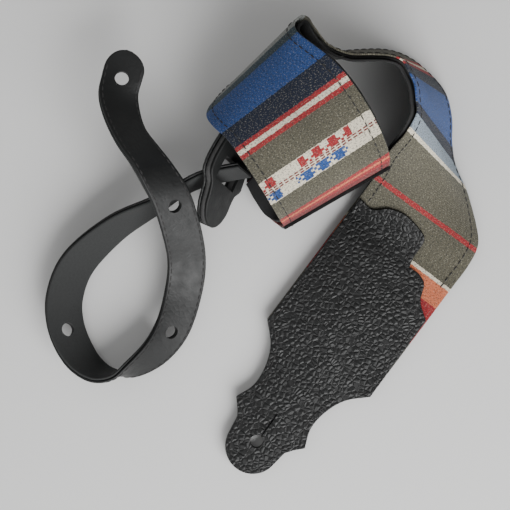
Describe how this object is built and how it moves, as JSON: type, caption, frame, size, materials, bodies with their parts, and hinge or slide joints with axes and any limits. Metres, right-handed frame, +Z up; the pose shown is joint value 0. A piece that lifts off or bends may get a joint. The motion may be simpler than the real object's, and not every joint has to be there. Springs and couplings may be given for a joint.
{
  "type": "guitar strap",
  "caption": "Striped woven guitar strap with scalloped leather tabs and a narrow leather tail threaded through a slot, lying coiled.",
  "frame": {"origin": "centre of the bounding box's base, on the table", "axes": "+Z up; the front tab's round end points towards -Y and a little -X"},
  "size_m": [0.2122, 0.2158, 0.0742],
  "materials": {
    "woven_cloth": "coarse woven stripes",
    "web": "matt webbing",
    "suede": "napped suede",
    "tab_leather": "pebbled, low sheen",
    "tail_leather": "smooth, soft sheen",
    "thread": "twisted thread"
  },
  "bodies": {
    "strap": {"woven_face": "woven_cloth", "inner_web": "web", "suede_backing": "suede", "left_edge_seam": "thread", "right_edge_seam": "thread", "front_tab_face": "tab_leather", "front_tab_filler": "web", "front_tab_lining": "suede", "front_tab_seam": "thread", "rear_tab_face": "tab_leather", "rear_tab_filler": "web", "rear_tab_lining": "suede", "rear_tab_left_seam": "thread", "rear_tab_right_seam": "thread"},
    "tail": {"tail_face": "tail_leather", "tail_lining": "suede", "tail_left_seam": "thread", "tail_right_seam": "thread"}
  },
  "joints": [
    {"name": "tail_slide", "type": "slide", "parent": "strap", "child": "tail", "axis": [-0.9847, -0.1745, 0], "range_m": [0, 0.008]}
  ]
}
